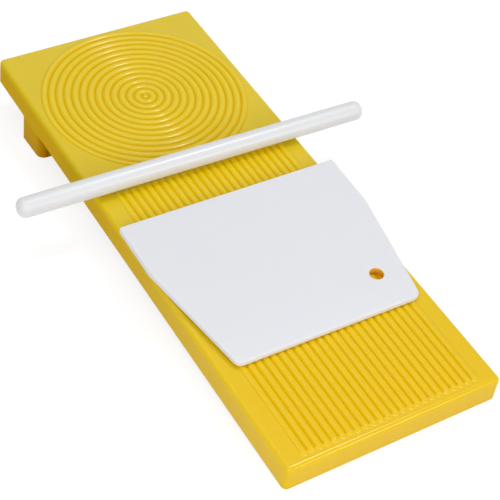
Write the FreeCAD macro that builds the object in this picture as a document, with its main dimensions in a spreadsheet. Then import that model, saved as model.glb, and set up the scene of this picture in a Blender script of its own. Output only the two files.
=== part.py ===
"""Ribbed pasta board with a rolling rod and a dough scraper, as a parametric FreeCAD document.

The board is drawn in its own axes: X across it from its middle, Y from its near edge to its far edge,
Z up from the plate's plain top face. It is then tilted, so that it stands on its foot and on its near
bottom edge, and the origin is on the table under the middle of the foot. The loose pieces are placed
from the board.
"""
import FreeCAD, Part
import Sketcher
import math
import os

SIZES = (
    # alias, value, what it is (millimetres, degrees or a count)
    ("board_width", 86.2, "board across its top"),
    ("board_length", 219.0, "board from its near edge to its far edge"),
    ("side_height", 10.5, "side wall, from the plain top face down"),
    ("plate_thickness", 2.8, "plate over the hollow underside"),
    ("wall_thickness", 2.8, "side walls and foot walls"),
    ("side_draft", 0.8, "draft of the side walls, degrees"),
    ("corner_round", 1.8, "upright corners of the board"),
    ("top_edge_round", 1.6, "top edge of the board"),
    ("stiffener_thickness", 1.6, "stiffeners under the plate, and their webs in the foot"),
    ("stiffener_inset", 1.5, "stiffeners end this far above the walls' bottom edge"),
    ("long_stiffeners", 3, "stiffeners along the board"),
    ("cross_stiffeners", 6, "stiffeners across the board, between its near wall and the foot"),
    ("foot_drop", 11.75, "back of the foot, below the walls' bottom edge"),
    ("foot_length", 14.9, "foot along the board"),
    ("foot_setback", 23.8, "foot's back face from the board's far edge"),
    ("foot_corner_round", 3.3, "upright front corners of the foot"),
    ("foot_rim_round", 0.5, "outer bottom rim of the foot"),
    ("rib_count", 24, "straight ribs"),
    ("rib_pitch", 3.02, "from rib to rib"),
    ("crest_rise", 0.5, "crests of ribs and rings above the plain top face"),
    ("groove_depth", 0.25, "grooves between crests, below the plain top face"),
    ("rib_start", 3.15, "ribs' near tips from the near edge"),
    ("rib_ring_gap", 2.3, "ribs' far tips from the rings"),
    ("ring_count", 13, "rings round the middle button"),
    ("ring_pitch", 3.04, "from ring to ring"),
    ("ring_margin", 1.73, "rings from the board's far edge"),
    ("rest_clearance", 0.1, "rod and scraper above the crests that they lie on or roll over"),
    ("rod_diameter", 7.7, "rod"),
    ("rod_length", 145.4, "rod"),
    ("rod_end_round", 3.0, "rims of the rod's ends"),
    ("rod_place", 133.9, "rod's axis from the board's near edge"),
    ("rod_shift", -0.7, "middle of the rod, across the board"),
    ("rod_turn", -1.5, "rod's lie on the board, degrees"),
    ("scraper_width", 90.7, "scraper across its parallel sides"),
    ("scraper_height", 72.0, "scraper from its short edge to its long edge"),
    ("scraper_short_edge", 74.6, "short edge, before its corners are rounded"),
    ("scraper_parallel", 23.5, "length of the parallel sides"),
    ("scraper_thickness", 2.5, "scraper"),
    ("scraper_corner_round", 3.0, "corners of the short edge"),
    ("scraper_rim_round", 0.6, "rims of the scraper's faces"),
    ("bevel_length", 8.5, "bevel beside the short edge"),
    ("bevel_drop", 0.3, "bevel's fall at the short edge"),
    ("hole_diameter", 5.2, "hanging hole"),
    ("hole_from_middle", 28.1, "hanging hole from the scraper's middle line"),
    ("hole_from_edge", 14.9, "hanging hole from the short edge"),
    ("scraper_place", 41.85, "scraper's short edge from the board's near edge"),
    ("scraper_shift", 0.53, "middle of the short edge, across the board"),
    ("scraper_turn", -0.7, "scraper's lie on the board, degrees"),
)

# Lengths and angles that follow from the sizes. The crests are arcs of a circle from groove to
# groove, and crest_half_width is where such an arc meets the plain top face.
WORKED_OUT = (
    ("crest_depth", "Sizes.crest_rise + Sizes.groove_depth"),
    ("rib_radius", "(Sizes.rib_pitch^2 / 4 + Worked.crest_depth^2) / (2 * Worked.crest_depth)"),
    ("rib_sink", "Worked.rib_radius - Sizes.crest_rise"),
    ("rib_half_width", "sqrt(Worked.rib_radius^2 - Worked.rib_sink^2)"),
    ("rib_field_half", "(Sizes.rib_count - 1) * Sizes.rib_pitch / 2"),
    ("ring_radius", "(Sizes.ring_pitch^2 / 4 + Worked.crest_depth^2) / (2 * Worked.crest_depth)"),
    ("ring_sink", "Worked.ring_radius - Sizes.crest_rise"),
    ("ring_half_width", "sqrt(Worked.ring_radius^2 - Worked.ring_sink^2)"),
    ("outer_crest", "Sizes.ring_count * Sizes.ring_pitch"),
    ("ring_field_radius", "Worked.outer_crest + Worked.ring_half_width"),
    ("ring_centre", "Sizes.board_length - Sizes.ring_margin - Worked.ring_field_radius"),
    ("ring_near_edge", "Worked.ring_centre - Worked.ring_field_radius"),
    ("rib_near_nose", "Sizes.rib_start + Worked.rib_half_width"),
    ("rib_far_nose", "Worked.ring_near_edge - Sizes.rib_ring_gap - Worked.rib_half_width"),
    ("recess_depth", "1.4 * Sizes.groove_depth"),
    ("ring_floor", "Sizes.plate_thickness / 2"),
    ("outset", "Sizes.side_height * tan(Sizes.side_draft * 1 deg)"),
    ("foot_back", "Sizes.board_length - Sizes.foot_setback"),
    ("foot_front", "Worked.foot_back - Sizes.foot_length"),
    ("foot_middle", "Worked.foot_back - Sizes.foot_length / 2"),
    ("slope", "Sizes.foot_drop / (Worked.foot_back + Worked.outset)"),
    ("tilt", "atan(Worked.slope) / 1 deg"),
    ("foot_depth", "Sizes.side_height + Worked.slope * (Worked.foot_middle + Worked.outset)"),
    ("inner_half", "Sizes.board_width / 2 - Sizes.wall_thickness"),
    ("inner_width", "2 * Worked.inner_half"),
    ("bay_length", "Worked.foot_front - Sizes.wall_thickness"),
    ("long_pitch", "Worked.inner_width / (Sizes.long_stiffeners + 1)"),
    ("cross_pitch", "Worked.bay_length / (Sizes.cross_stiffeners + 1)"),
    ("stiffener_depth", "Sizes.side_height - Sizes.plate_thickness - Sizes.stiffener_inset"),
    ("lie_height", "Sizes.crest_rise + Sizes.rest_clearance"),
)

NO_TURN = "rotation(vector(0; 0; 1); 0)"
RIGHT_ANGLE = math.pi / 2


def make_document():
    """The document with its sheet of sizes and the values worked out from them."""
    doc = FreeCAD.newDocument("PastaBoard")
    sheet = doc.addObject("Spreadsheet::Sheet", "Sizes")
    for row, (alias, value, meaning) in enumerate(SIZES, start=1):
        sheet.set(f"A{row}", meaning)
        sheet.set(f"B{row}", str(value))
        sheet.setAlias(f"B{row}", alias)
    doc.recompute()
    worked = doc.addObject("App::VarSet", "Worked")
    for name, expression in WORKED_OUT:
        worked.addProperty("App::PropertyFloat", name)
        worked.setExpression(name, expression)
        doc.recompute()
    return doc


def value_of(item, expression):
    """The present number behind an expression."""
    return float(item.Document.Sizes.evalExpression(expression))


# Sketches

def attach(item, body, role, **offsets):
    """Puts an item on one of its body's origin planes, moved by expressions along its own axes."""
    plane = next(feature for feature in body.Origin.OriginFeatures if feature.Role == role)
    item.AttachmentSupport = [(plane, "")]
    item.MapMode = "FlatFace"
    for axis, expression in offsets.items():
        item.setExpression(f"AttachmentOffset.Base.{axis}", expression)


def make_sketch(body, name, role="XY_Plane", **offsets):
    sketch = body.newObject("Sketcher::SketchObject", name)
    attach(sketch, body, role, **offsets)
    return sketch


def pin_coordinate(sketch, kind, point, expression):
    """Ties a point's distance from the sketch's origin, along one axis, to an expression."""
    value = value_of(sketch, expression)
    origin = (-1, 1)
    if value == 0:
        axis = -2 if kind == "DistanceX" else -1
        sketch.addConstraint(Sketcher.Constraint("PointOnObject", *point, axis))
    elif value > 0:
        number = sketch.addConstraint(Sketcher.Constraint(kind, *origin, *point, value))
        sketch.setExpression(f"Constraints[{number}]", expression)
    else:
        number = sketch.addConstraint(Sketcher.Constraint(kind, *point, *origin, -value))
        sketch.setExpression(f"Constraints[{number}]", f"-({expression})")


def pin_point(sketch, point, across, along):
    pin_coordinate(sketch, "DistanceX", point, across)
    pin_coordinate(sketch, "DistanceY", point, along)


def draw_polygon(sketch, corners):
    """A closed outline of straight lines. Each corner is a pair of expressions."""
    points = [FreeCAD.Vector(value_of(sketch, x), value_of(sketch, y)) for x, y in corners]
    first = sketch.GeometryCount
    count = len(points)
    for start, end in zip(points, points[1:] + points[:1]):
        sketch.addGeometry(Part.LineSegment(start, end))
    for index in range(count):
        following = first + (index + 1) % count
        sketch.addConstraint(Sketcher.Constraint("Coincident", first + index, 2, following, 1))
    for index, (x, y) in enumerate(corners):
        pin_point(sketch, (first + index, 1), x, y)


def draw_rectangle(sketch, left, right, bottom, top):
    draw_polygon(sketch, ((left, bottom), (right, bottom), (right, top), (left, top)))


def draw_circle(sketch, x, y, diameter):
    centre = FreeCAD.Vector(value_of(sketch, x), value_of(sketch, y))
    radius = value_of(sketch, diameter) / 2
    circle = sketch.addGeometry(Part.Circle(centre, FreeCAD.Vector(0, 0, 1), radius))
    number = sketch.addConstraint(Sketcher.Constraint("Diameter", circle, 2 * radius))
    sketch.setExpression(f"Constraints[{number}]", diameter)
    pin_point(sketch, (circle, 3), x, y)


def join_ends(sketch, pieces):
    """Makes each piece of an outline start where the one before it ends, all the way round."""
    for piece, following in zip(pieces, (*pieces[1:], pieces[0])):
        sketch.addConstraint(Sketcher.Constraint("Coincident", piece, 2, following, 1))


def draw_half_capsule(sketch, radius, length):
    """Half the outline of a round-ended bar that lies along the sketch's vertical axis.

    The centres of its two quarter-circle noses are at the origin and at length above it.
    """
    size = value_of(sketch, radius)
    reach = value_of(sketch, length)
    normal = FreeCAD.Vector(0, 0, 1)
    low_circle = Part.Circle(FreeCAD.Vector(0, 0, 0), normal, size)
    high_circle = Part.Circle(FreeCAD.Vector(0, reach, 0), normal, size)
    low = sketch.addGeometry(Part.ArcOfCircle(low_circle, -RIGHT_ANGLE, 0))
    side = sketch.addGeometry(Part.LineSegment(
        FreeCAD.Vector(size, 0, 0), FreeCAD.Vector(size, reach, 0)))
    high = sketch.addGeometry(Part.ArcOfCircle(high_circle, 0, RIGHT_ANGLE))
    back = sketch.addGeometry(Part.LineSegment(
        FreeCAD.Vector(0, reach + size, 0), FreeCAD.Vector(0, -size, 0)))
    join_ends(sketch, (low, side, high, back))
    pin_point(sketch, (low, 3), "0", "0")
    pin_point(sketch, (high, 3), "0", length)
    pin_point(sketch, (low, 2), radius, "0")
    pin_point(sketch, (high, 1), radius, length)
    pin_coordinate(sketch, "DistanceX", (low, 1), "0")
    pin_coordinate(sketch, "DistanceX", (high, 2), "0")


# Features

def solid_volume(body):
    body.Document.recompute()
    return body.Shape.Volume


def pad(body, name, sketch, length, **settings):
    """Adds the sketch's outline, extruded by the expression length."""
    feature = body.newObject("PartDesign::Pad", name)
    feature.Profile = sketch
    feature.setExpression("Length", length)
    for key, value in settings.items():
        setattr(feature, key, value)
    body.Document.recompute()
    return feature


def pocket(body, name, sketch, depth=None, **settings):
    """Cuts the sketch's outline out, as deep as the expression depth, or through all without one."""
    before = solid_volume(body)
    feature = body.newObject("PartDesign::Pocket", name)
    feature.Profile = sketch
    if depth:
        feature.setExpression("Length", depth)
    else:
        feature.Type = "ThroughAll"
    for key, value in settings.items():
        setattr(feature, key, value)
    if solid_volume(body) >= before:
        raise RuntimeError(f"{name} cuts nothing")
    return feature


def revolve(body, name, sketch, angle):
    """Adds the sketch's outline, turned about the sketch's vertical axis."""
    feature = body.newObject("PartDesign::Revolution", name)
    feature.Profile = sketch
    feature.ReferenceAxis = (sketch, ["V_Axis"])
    feature.Angle = angle
    feature.Reversed = True
    body.Document.recompute()
    return feature


def repeat(body, name, feature, axis_role, pitch, count):
    """Copies a feature along one of the body's axes, count times in all."""
    axis = next(item for item in body.Origin.OriginFeatures if item.Role == axis_role)
    pattern = body.newObject("PartDesign::LinearPattern", name)
    pattern.Originals = [feature]
    pattern.Direction = (axis, [""])
    pattern.Mode = "Spacing"
    pattern.setExpression("Offset", pitch)
    pattern.setExpression("Occurrences", count)
    body.Tip = pattern
    body.Document.recompute()
    return pattern


def round_edges(body, name, radius, wanted):
    """Rounds every edge of the body's last feature that wanted says yes to."""
    tip = body.Tip
    edges = [f"Edge{number}" for number, edge in enumerate(tip.Shape.Edges, start=1) if wanted(edge)]
    if not edges:
        raise RuntimeError(f"{name} finds no edge")
    feature = body.newObject("PartDesign::Fillet", name)
    feature.Base = (tip, edges)
    feature.setExpression("Radius", radius)
    body.Document.recompute()
    return feature


def draft_sides(body, name, angle):
    """Slopes the upright faces outwards from the top face, which keeps its size."""
    block = body.Tip
    upright = [f"Face{number}" for number, face in enumerate(block.Shape.Faces, start=1)
               if abs(face.normalAt(0, 0).z) < 0.5]
    feature = body.newObject("PartDesign::Draft", name)
    feature.Base = (block, upright)
    top = next(plane for plane in body.Origin.OriginFeatures if plane.Role == "XY_Plane")
    feature.NeutralPlane = (top, [""])
    feature.setExpression("Angle", angle)
    body.Document.recompute()
    return feature


def lies_at(edge, axis, place):
    """Whether all of an edge is at one coordinate: axis is x, y or z."""
    box = edge.BoundBox
    low = getattr(box, axis.upper() + "Min")
    high = getattr(box, axis.upper() + "Max")
    return abs(low - place) < 0.01 and abs(high - place) < 0.01


def spans(edge, axis, low, high):
    """Whether an edge runs from low to high along one axis."""
    box = edge.BoundBox
    start = getattr(box, axis.upper() + "Min")
    end = getattr(box, axis.upper() + "Max")
    return abs(start - low) < 0.01 and abs(end - high) < 0.01


# The board

def rest_line(y):
    """The expression for Z on the plane that the board stands on, at the expression y."""
    return f"-(Sizes.side_height + Worked.slope * ({y} + Worked.outset))"


def add_block(board):
    """The board's outer block: drafted sides, rounded upright corners and a rounded top edge."""
    sketch = make_sketch(board, "BlockOutline")
    draw_rectangle(sketch, "-Sizes.board_width / 2", "Sizes.board_width / 2", "0", "Sizes.board_length")
    pad(board, "Block", sketch, "Sizes.side_height", Reversed=True)
    height = value_of(board, "Sizes.side_height")
    round_edges(board, "UprightCorners", "Sizes.corner_round",
                lambda edge: spans(edge, "z", -height, 0))
    draft_sides(board, "SideDraft", "Sizes.side_draft")
    round_edges(board, "TopEdge", "Sizes.top_edge_round", lambda edge: lies_at(edge, "z", 0))


def draw_foot_outline(sketch):
    """The foot seen from above: a bar across the board, round at its two front corners."""
    half = "(Sizes.board_width / 2 + Worked.outset)"
    radius = "Sizes.foot_corner_round"
    turn_in = f"({half} - {radius})"
    turn_up = f"(Worked.foot_front + {radius})"
    wide, front, back = (value_of(sketch, size) for size in (half, "Worked.foot_front", "Worked.foot_back"))
    size = value_of(sketch, radius)
    straight = (((size - wide, front), (wide - size, front)), ((wide, front + size), (wide, back)),
                ((wide, back), (-wide, back)), ((-wide, back), (-wide, front + size)))
    front_side, right, back_side, left = (
        sketch.addGeometry(Part.LineSegment(FreeCAD.Vector(*start), FreeCAD.Vector(*end)))
        for start, end in straight)
    normal = FreeCAD.Vector(0, 0, 1)
    right_circle = Part.Circle(FreeCAD.Vector(wide - size, front + size), normal, size)
    left_circle = Part.Circle(FreeCAD.Vector(size - wide, front + size), normal, size)
    right_round = sketch.addGeometry(Part.ArcOfCircle(right_circle, -RIGHT_ANGLE, 0))
    left_round = sketch.addGeometry(Part.ArcOfCircle(left_circle, 2 * RIGHT_ANGLE, 3 * RIGHT_ANGLE))
    join_ends(sketch, (front_side, right_round, right, back_side, left, left_round))
    pin_point(sketch, (right_round, 3), turn_in, turn_up)
    pin_point(sketch, (left_round, 3), f"-{turn_in}", turn_up)
    pin_point(sketch, (front_side, 1), f"-{turn_in}", "Worked.foot_front")
    pin_point(sketch, (front_side, 2), turn_in, "Worked.foot_front")
    pin_point(sketch, (back_side, 1), half, "Worked.foot_back")
    pin_point(sketch, (back_side, 2), f"-{half}", "Worked.foot_back")
    pin_coordinate(sketch, "DistanceY", (right, 1), turn_up)
    pin_coordinate(sketch, "DistanceY", (left, 2), turn_up)


def add_foot(board):
    """A bar under the far end, as wide as the walls' bottom edge, cut to the plane it stands on."""
    sketch = make_sketch(board, "FootOutline", z="-Sizes.side_height")
    draw_foot_outline(sketch)
    pad(board, "Foot", sketch, "Sizes.foot_drop", Reversed=True)
    sketch = make_sketch(board, "RestProfile", "YZ_Plane")
    near = "(Worked.foot_front - Sizes.foot_length)"
    far = "(Worked.foot_back + Sizes.foot_length)"
    below = "-2 * Worked.foot_depth"
    draw_polygon(sketch, ((near, below), (far, below), (far, rest_line(far)), (near, rest_line(near))))
    pocket(board, "FootSlope", sketch, "2 * Sizes.board_width", SideType="Symmetric")
    low = value_of(board, rest_line("Worked.foot_back"))
    high = value_of(board, rest_line("Worked.foot_front"))
    round_edges(board, "FootRim", "Sizes.foot_rim_round",
                lambda edge: low - 0.01 < edge.BoundBox.ZMin and edge.BoundBox.ZMax < high + 0.01)


def hollow_out(board):
    """Opens the underside up to the plate: in front of the foot, behind it and inside it."""
    sketch = make_sketch(board, "HollowOutlines", z="-Sizes.plate_thickness")
    draw_rectangle(sketch, "-Worked.inner_half", "Worked.inner_half",
                   "Sizes.wall_thickness", "Worked.foot_front")
    draw_rectangle(sketch, "-Worked.inner_half", "Worked.inner_half",
                   "Worked.foot_back", "Sizes.board_length - Sizes.wall_thickness")
    pocket(board, "Hollows", sketch, "Sizes.side_height")
    sketch = make_sketch(board, "FootHollowOutline", z="-Sizes.plate_thickness")
    draw_rectangle(sketch, "-Worked.inner_half", "Worked.inner_half",
                   "Worked.foot_front + Sizes.wall_thickness", "Worked.foot_back - Sizes.wall_thickness")
    pocket(board, "FootHollow", sketch)


def add_stiffeners(board):
    """Stiffeners under the plate, lengthwise and across, and the lengthwise ones' webs in the foot."""
    half = "Sizes.stiffener_thickness / 2"
    into_wall = "Sizes.wall_thickness / 2"
    first = "(Worked.long_pitch - Worked.inner_half)"
    sketch = make_sketch(board, "LongStiffenerOutline", z="-Sizes.plate_thickness", x=first)
    draw_rectangle(sketch, f"-{half}", half, into_wall, f"Sizes.board_length - {into_wall}")
    lengthwise = pad(board, "LongStiffener", sketch, "Worked.stiffener_depth", Reversed=True)
    repeat(board, "LongStiffeners", lengthwise, "X_Axis", "Worked.long_pitch", "Sizes.long_stiffeners")

    sketch = make_sketch(board, "CrossStiffenerOutline", z="-Sizes.plate_thickness",
                         y="Sizes.wall_thickness + Worked.cross_pitch")
    reach = f"(Worked.inner_half + {into_wall})"
    draw_rectangle(sketch, f"-{reach}", reach, f"-{half}", half)
    across = pad(board, "CrossStiffener", sketch, "Worked.stiffener_depth", Reversed=True)
    repeat(board, "CrossStiffeners", across, "Y_Axis", "Worked.cross_pitch", "Sizes.cross_stiffeners")

    sketch = make_sketch(board, "WebProfile", "YZ_Plane", z=first)
    near = f"(Worked.foot_front + {into_wall})"
    far = f"(Worked.foot_back - {into_wall})"
    top = "-Sizes.plate_thickness / 2"
    draw_polygon(sketch, ((near, top), (far, top), (far, rest_line(far)), (near, rest_line(near))))
    web = pad(board, "FootWeb", sketch, "Sizes.stiffener_thickness", SideType="Symmetric")
    repeat(board, "FootWebs", web, "X_Axis", "Worked.long_pitch", "Sizes.long_stiffeners")


def add_ribs(board):
    """Straight ribs: upper halves of round-ended bars, side by side over a shallow recess."""
    sketch = make_sketch(board, "RibRecessOutline")
    draw_rectangle(sketch, "-Worked.rib_field_half", "Worked.rib_field_half",
                   "Worked.rib_near_nose + Sizes.groove_depth",
                   "Worked.rib_far_nose - Sizes.groove_depth")
    pocket(board, "RibRecess", sketch, "Worked.recess_depth")
    sketch = make_sketch(board, "RibProfile", x="-Worked.rib_field_half", y="Worked.rib_near_nose",
                         z="-Worked.rib_sink")
    draw_half_capsule(sketch, "Worked.rib_radius", "Worked.rib_far_nose - Worked.rib_near_nose")
    rib = revolve(board, "Rib", sketch, 180)
    repeat(board, "Ribs", rib, "X_Axis", "Sizes.rib_pitch", "Sizes.rib_count")


def draw_ring_profile(sketch):
    """Half the rings' section, from the upright axis outwards: arcs from groove to groove.

    The first arc is the middle button's, and the last ends where it meets the plain top face.
    """
    pitch = value_of(sketch, "Sizes.ring_pitch")
    radius = value_of(sketch, "Worked.ring_radius")
    sink = value_of(sketch, "Worked.ring_sink")
    rim = value_of(sketch, "Worked.ring_field_radius")
    floor = value_of(sketch, "Worked.ring_floor")
    count = int(value_of(sketch, "Sizes.ring_count"))
    valley = math.atan2(radius - value_of(sketch, "Worked.crest_depth"), pitch / 2)
    meets_face = math.asin(sink / radius)
    arcs = []
    for number in range(count + 1):
        centre = FreeCAD.Vector(number * pitch, -sink, 0)
        low = meets_face if number == count else valley
        high = RIGHT_ANGLE if number == 0 else 2 * RIGHT_ANGLE - valley
        circle = Part.Circle(centre, FreeCAD.Vector(0, 0, 1), radius)
        arcs.append(sketch.addGeometry(Part.ArcOfCircle(circle, low, high)))
    corners = [FreeCAD.Vector(x, y, 0) for x, y in ((rim, 0), (rim, -floor), (0, -floor), (0, radius - sink))]
    outside, below, axis = (sketch.addGeometry(Part.LineSegment(start, end))
                            for start, end in zip(corners, corners[1:]))
    for number, arc in enumerate(arcs):
        pin_point(sketch, (arc, 3), f"{number} * Sizes.ring_pitch", "-Worked.ring_sink")
        if number < count:
            sketch.addConstraint(Sketcher.Constraint("Coincident", arc, 1, arcs[number + 1], 2))
            pin_coordinate(sketch, "DistanceX", (arc, 1), f"({number} + 0.5) * Sizes.ring_pitch")
    pin_coordinate(sketch, "DistanceX", (arcs[0], 2), "0")
    pin_coordinate(sketch, "DistanceY", (arcs[0], 2), "Sizes.crest_rise")
    pin_coordinate(sketch, "DistanceY", (arcs[-1], 1), "0")
    for first, start, second, end in ((arcs[-1], 1, outside, 1), (outside, 2, below, 1),
                                      (below, 2, axis, 1), (axis, 2, arcs[0], 2)):
        sketch.addConstraint(Sketcher.Constraint("Coincident", first, start, second, end))
    sketch.addConstraint(Sketcher.Constraint("Vertical", outside))
    sketch.addConstraint(Sketcher.Constraint("Horizontal", below))
    pin_point(sketch, (axis, 1), "0", "-Worked.ring_floor")


def add_rings(board):
    """Concentric rings round a middle button, turned from one section, over a shallow recess."""
    sketch = make_sketch(board, "RingRecessOutline")
    draw_circle(sketch, "0", "Worked.ring_centre", "2 * Worked.outer_crest")
    pocket(board, "RingRecess", sketch, "Worked.recess_depth")
    sketch = make_sketch(board, "RingProfile", "XZ_Plane", z="-Worked.ring_centre")
    draw_ring_profile(sketch)
    revolve(board, "Rings", sketch, 360)


def make_board(doc):
    board = doc.addObject("PartDesign::Body", "Board")
    board.Label = "board"
    add_block(board)
    add_foot(board)
    hollow_out(board)
    add_stiffeners(board)
    add_ribs(board)
    add_rings(board)
    board.setExpression("Placement", (
        "placement(vector(0; 0; 0); rotation(vector(1; 0; 0); Worked.tilt))"
        f" * placement(vector(0; -Worked.foot_middle; Worked.foot_depth); {NO_TURN})"))
    return board


# The loose pieces

def lay_on_board(body, x, y, z, turn):
    """Places a body in the board's axes, turned about the board's upright axis."""
    body.setExpression("Placement", (
        f"Board.Placement * placement(vector({x}; {y}; {z}); rotation(vector(0; 0; 1); {turn}))"))


def make_rod(doc):
    """A round rod along its own X axis, with rounded rims, in the hollow between ribs and rings."""
    rod = doc.addObject("PartDesign::Body", "Rod")
    rod.Label = "rod"
    sketch = make_sketch(rod, "RodSection", "YZ_Plane")
    draw_circle(sketch, "0", "0", "Sizes.rod_diameter")
    pad(rod, "Bar", sketch, "Sizes.rod_length", SideType="Symmetric")
    half = value_of(rod, "Sizes.rod_length / 2")
    round_edges(rod, "EndRims", "Sizes.rod_end_round",
                lambda edge: lies_at(edge, "x", half) or lies_at(edge, "x", -half))
    lay_on_board(rod, "Sizes.rod_shift", "Sizes.rod_place",
                 "Worked.lie_height + Sizes.rod_diameter / 2", "Sizes.rod_turn")
    return rod


def make_scraper(doc):
    """A flat card with two parallel sides, a narrower bevelled edge at Y = 0 and a hanging hole."""
    scraper = doc.addObject("PartDesign::Body", "Scraper")
    scraper.Label = "scraper"
    sketch = make_sketch(scraper, "CardOutline")
    shoulder = "Sizes.scraper_height - Sizes.scraper_parallel"
    right_side = (("Sizes.scraper_short_edge / 2", "0"), ("Sizes.scraper_width / 2", shoulder),
                  ("Sizes.scraper_width / 2", "Sizes.scraper_height"))
    left_side = [(f"-{x}", y) for x, y in reversed(right_side)]
    draw_polygon(sketch, (*right_side, *left_side))
    pad(scraper, "Card", sketch, "Sizes.scraper_thickness")

    thickness = value_of(scraper, "Sizes.scraper_thickness")
    short_half = value_of(scraper, "Sizes.scraper_short_edge / 2")
    round_edges(scraper, "ShortEdgeCorners", "Sizes.scraper_corner_round",
                lambda edge: spans(edge, "z", 0, thickness) and lies_at(edge, "y", 0)
                and abs(abs(edge.BoundBox.XMin) - short_half) < 0.01)

    sketch = make_sketch(scraper, "BevelProfile", "YZ_Plane")
    beyond = "-Sizes.bevel_length"
    draw_polygon(sketch, ((beyond, "Sizes.scraper_thickness - 2 * Sizes.bevel_drop"),
                          ("Sizes.bevel_length", "Sizes.scraper_thickness"),
                          ("Sizes.bevel_length", "2 * Sizes.scraper_thickness"),
                          (beyond, "2 * Sizes.scraper_thickness")))
    pocket(scraper, "Bevel", sketch, "2 * Sizes.scraper_width", SideType="Symmetric")

    round_edges(scraper, "Rims", "Sizes.scraper_rim_round", is_scraper_rim)
    sketch = make_sketch(scraper, "HoleOutline", z="Sizes.scraper_thickness")
    draw_circle(sketch, "Sizes.hole_from_middle", "Sizes.hole_from_edge", "Sizes.hole_diameter")
    pocket(scraper, "HangingHole", sketch)
    lay_on_board(scraper, "Sizes.scraper_shift", "Sizes.scraper_place",
                 "Worked.lie_height", "Sizes.scraper_turn")
    return scraper


def is_scraper_rim(edge):
    """Edges round the card's two faces: not the upright ones, nor the line where the bevel starts."""
    box = edge.BoundBox
    return box.ZLength < 1 and not (box.YLength < 0.01 and 1 < box.YMin < 20)


# Output

def check(doc, bodies):
    doc.recompute()
    for item in doc.Objects:
        if "Invalid" in item.State or "Error" in item.State:
            raise RuntimeError(f"{item.Name} has failed: {item.State}")
    for body in bodies:
        if body.Shape.isNull() or not body.Shape.isValid() or len(body.Shape.Solids) != 1:
            raise RuntimeError(f"{body.Label} is not one valid solid")


def main():
    doc = make_document()
    bodies = (make_board(doc), make_rod(doc), make_scraper(doc))
    check(doc, bodies)
    os.makedirs("parts", exist_ok=True)
    for body in bodies:
        body.Shape.exportStep(f"parts/{body.Label}.step")
        box = body.Shape.BoundBox
        print(body.Label, round(body.Shape.Volume), "mm3,",
              f"X {box.XMin:.2f} {box.XMax:.2f}, Y {box.YMin:.2f} {box.YMax:.2f},",
              f"Z {box.ZMin:.2f} {box.ZMax:.2f}")


main()
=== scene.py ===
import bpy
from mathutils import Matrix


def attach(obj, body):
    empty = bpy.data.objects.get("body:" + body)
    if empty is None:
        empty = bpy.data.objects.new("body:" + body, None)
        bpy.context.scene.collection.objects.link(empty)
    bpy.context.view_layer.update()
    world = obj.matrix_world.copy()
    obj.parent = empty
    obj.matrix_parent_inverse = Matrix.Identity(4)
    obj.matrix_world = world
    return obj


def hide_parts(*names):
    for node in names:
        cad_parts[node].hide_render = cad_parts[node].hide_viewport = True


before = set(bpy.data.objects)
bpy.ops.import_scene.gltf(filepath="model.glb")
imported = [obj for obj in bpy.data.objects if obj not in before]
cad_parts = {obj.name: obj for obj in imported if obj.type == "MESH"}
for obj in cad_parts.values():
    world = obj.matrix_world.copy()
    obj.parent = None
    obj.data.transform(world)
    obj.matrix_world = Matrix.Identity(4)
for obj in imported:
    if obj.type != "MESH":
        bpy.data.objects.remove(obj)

"""Ribbed pasta board with a rolling rod and a dough scraper: detailed surfaces and plastics.

The board is worked out in its own axes, in metres: X across it from its middle, Y from its near edge to
its far edge, Z up from the plain top face. place_matrix then carries it, and what lies on it, to the
frame.
"""
import math

import bmesh
import bpy
import numpy as np
from mathutils import Matrix, Vector

bl_info = {
    "name": "Pasta board",
    "version": (1, 0, 0),
    "blender": (4, 5, 0),
    "location": "View3D > Sidebar > Pasta board",
    "description": "Builds a ribbed pasta board with its rod and its dough scraper",
    "category": "Object",
}

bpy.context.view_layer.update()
MM = 0.001
WELD_DISTANCE = 2e-6
NEARLY_NONE = 1e-6
BOARD_SMOOTH = math.radians(35)
LOOSE_SMOOTH = math.radians(40)
WHITE = (1.0, 1.0, 1.0, 1.0)


# Properties

def length(name, description, millimetres):
    """A length, given in millimetres and kept in metres."""
    return bpy.props.FloatProperty(name=name, description=description, default=millimetres * MM,
                                   precision=5, unit="LENGTH")


def angle(name, description, degrees):
    """An angle, given in degrees and kept in radians."""
    return bpy.props.FloatProperty(name=name, description=description, default=math.radians(degrees),
                                   unit="ROTATION")


def count(name, description, number):
    return bpy.props.IntProperty(name=name, description=description, default=number, min=1)


def share(name, description, value):
    """A share from 0 to 1."""
    return bpy.props.FloatProperty(name=name, description=description, default=value, min=0.0, max=1.0,
                                   subtype="FACTOR")


def colour(name, description, *parts):
    """A colour, given as display red, green and blue from 0 to 255 and kept linear."""
    shares = np.array(parts) / 255
    linear = np.where(shares > 0.04045, ((shares + 0.055) / 1.055) ** 2.4, shares / 12.92)
    return bpy.props.FloatVectorProperty(name=name, description=description, default=linear.tolist(),
                                         min=0.0, max=1.0, size=3, subtype="COLOR")


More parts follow.
